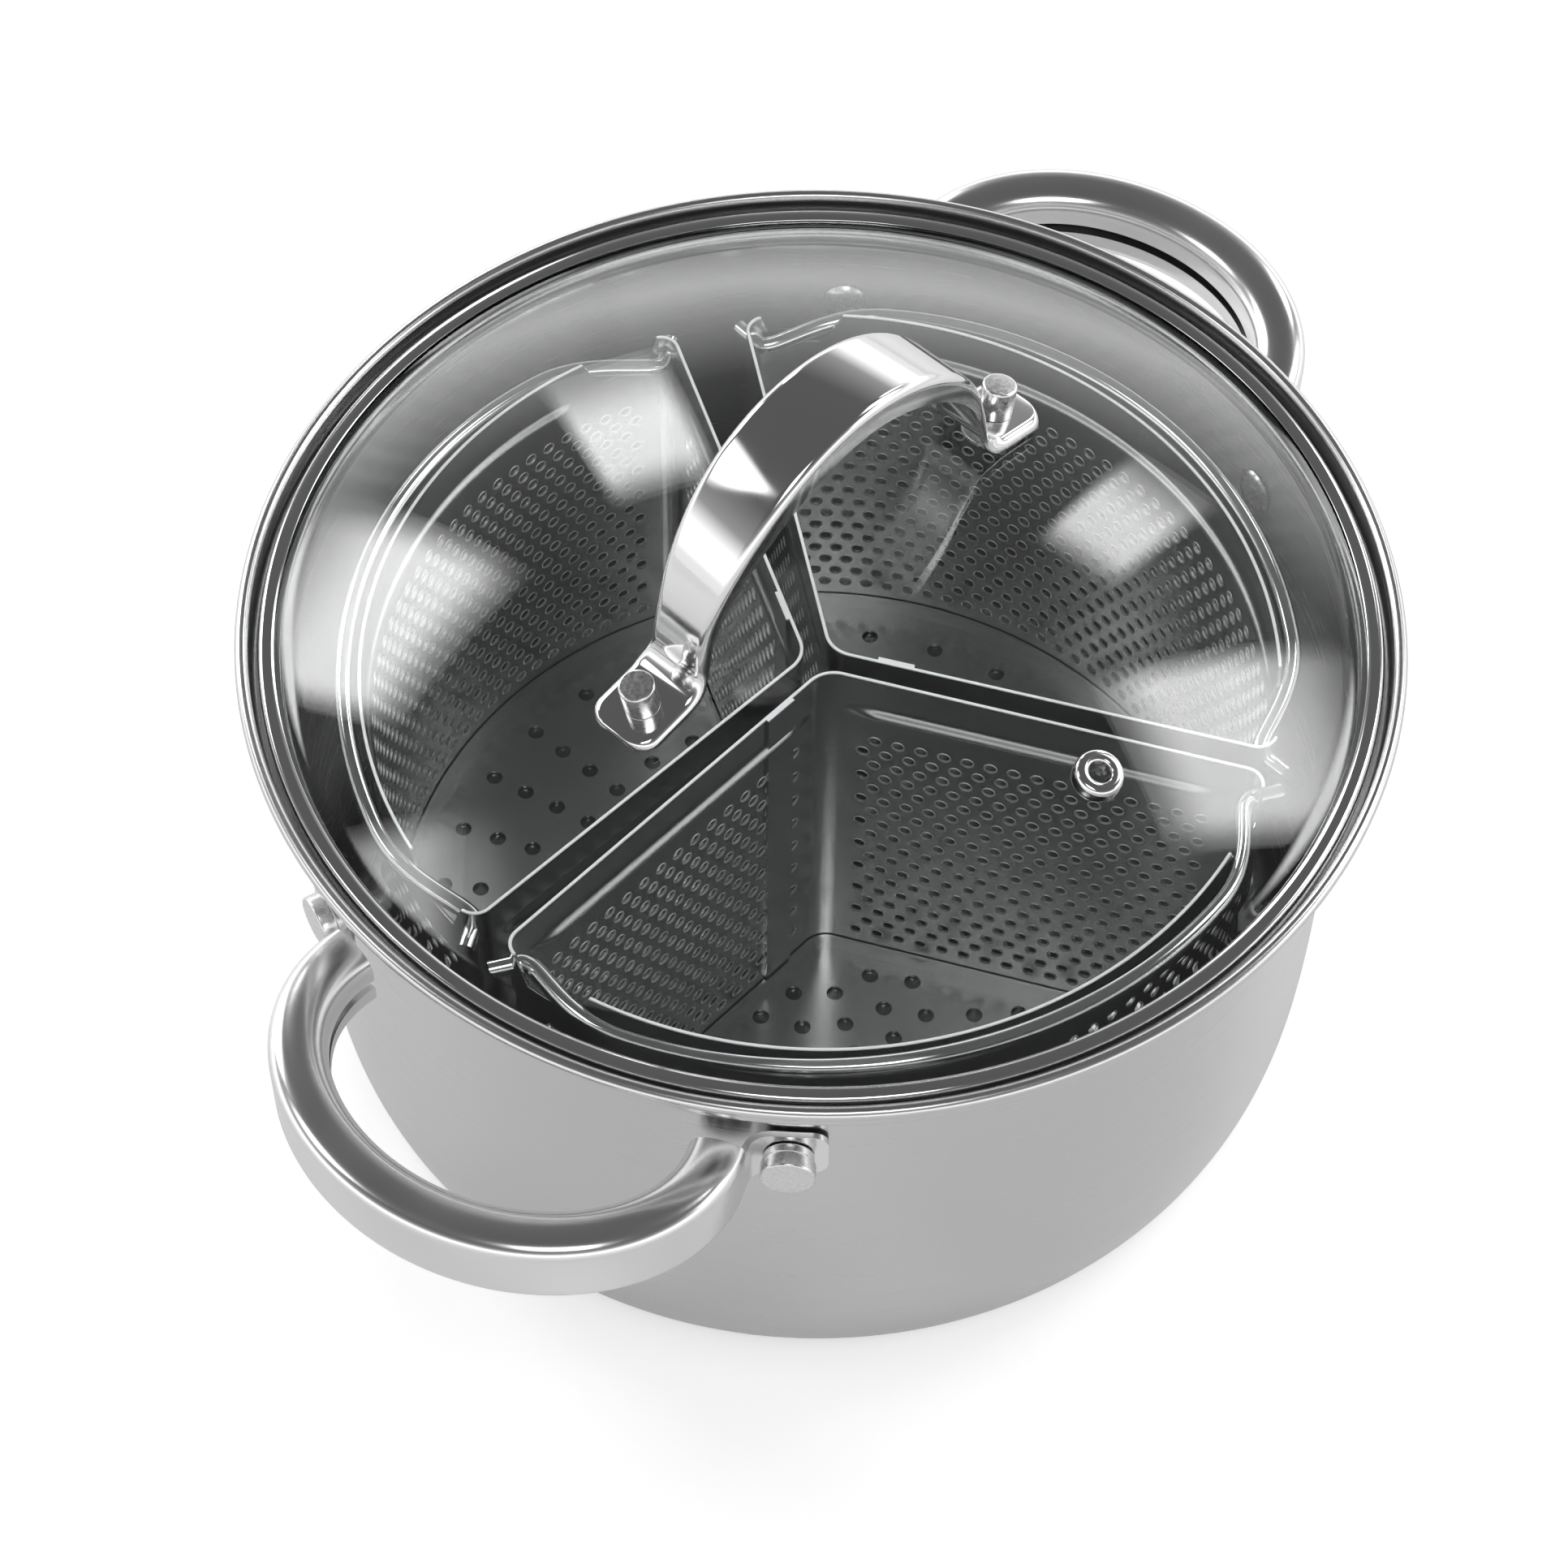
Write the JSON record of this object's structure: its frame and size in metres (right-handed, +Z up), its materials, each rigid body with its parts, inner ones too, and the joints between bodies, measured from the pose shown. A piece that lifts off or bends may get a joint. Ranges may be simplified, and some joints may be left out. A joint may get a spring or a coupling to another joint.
{
  "type": "multi basket pot",
  "caption": "Stainless steel pot with loop handles, a domed glass lid with an arched strap handle, and sector-shaped strainer baskets on swinging wire bails.",
  "frame": {"origin": "middle of the underside, on the ground", "axes": "+X towards the rear loop handle, +Z up"},
  "size_m": [0.365, 0.2794, 0.223],
  "materials": {
    "pot_steel": "satin stainless steel, faint brushing round the pot",
    "polished_steel": "mirror-polished stainless steel",
    "rivet_steel": "smooth bright stainless steel",
    "basket_steel": "bright perforated stainless sheet",
    "core_aluminium": "plain aluminium",
    "lid_glass": "clear tempered glass",
    "silicone": "translucent silicone"
  },
  "bodies": {
    "pot": {"pot_body": "pot_steel", "base_core": "core_aluminium", "base_cap": "pot_steel", "handle_front": "polished_steel", "handle_rear": "polished_steel", "handle_rivet_front_left": "rivet_steel", "handle_rivet_front_right": "rivet_steel", "handle_rivet_rear_left": "rivet_steel", "handle_rivet_rear_right": "rivet_steel"},
    "lid": {"lid_glass": "lid_glass", "lid_rim": "polished_steel", "lid_handle": "polished_steel", "lid_stud_front": "rivet_steel", "lid_stud_rear": "rivet_steel", "lid_gasket_front": "silicone", "lid_gasket_rear": "silicone", "lid_washer_front": "rivet_steel", "lid_washer_rear": "rivet_steel", "vent_eyelet": "polished_steel"},
    "right_basket": {"basket_wall_right": "basket_steel", "basket_floor_right": "basket_steel"},
    "front_basket": {"basket_wall_front": "basket_steel", "basket_floor_front": "basket_steel"},
    "left_basket": {"basket_wall_left": "basket_steel", "basket_floor_left": "basket_steel"},
    "right_bail": {"bail_right": "polished_steel"},
    "front_bail": {"bail_front": "polished_steel"},
    "left_bail": {"bail_left": "polished_steel"}
  },
  "joints": [
    {"name": "lid_lift", "type": "slide", "parent": "pot", "child": "lid", "axis": [0, 0, 1], "range_m": [0, 0.3]},
    {"name": "right_basket_lift", "type": "slide", "parent": "pot", "child": "right_basket", "axis": [0, 0, 1], "range_m": [0, 0.135]},
    {"name": "front_basket_lift", "type": "slide", "parent": "pot", "child": "front_basket", "axis": [0, 0, 1], "range_m": [0, 0.135]},
    {"name": "left_basket_lift", "type": "slide", "parent": "pot", "child": "left_basket", "axis": [0, 0, 1], "range_m": [0, 0.135]},
    {"name": "right_bail_swing", "type": "hinge", "parent": "right_basket", "child": "right_bail", "pos_m": [0.0597, -0.01656, 0.1175], "axis": [-0.2672, -0.9636, 0], "range_deg": [0, 83]},
    {"name": "front_bail_swing", "type": "hinge", "parent": "front_basket", "child": "front_bail", "pos_m": [-0.04217, -0.04538, 0.1175], "axis": [-0.7325, 0.6807, 0], "range_deg": [0, 83]},
    {"name": "left_bail_swing", "type": "hinge", "parent": "left_basket", "child": "left_bail", "pos_m": [-0.01955, 0.05878, 0.1175], "axis": [0.9489, 0.3156, 0], "range_deg": [0, 83]}
  ],
  "couplings": [
    {"joint": "right_basket_lift", "follows": "lid_lift", "ratio": 0.45},
    {"joint": "front_basket_lift", "follows": "lid_lift", "ratio": 0.45},
    {"joint": "left_basket_lift", "follows": "lid_lift", "ratio": 0.45},
    {"joint": "right_bail_swing", "follows": "lid_lift", "rad_per_m": 4.82},
    {"joint": "front_bail_swing", "follows": "lid_lift", "rad_per_m": 4.82},
    {"joint": "left_bail_swing", "follows": "lid_lift", "rad_per_m": 4.82}
  ]
}
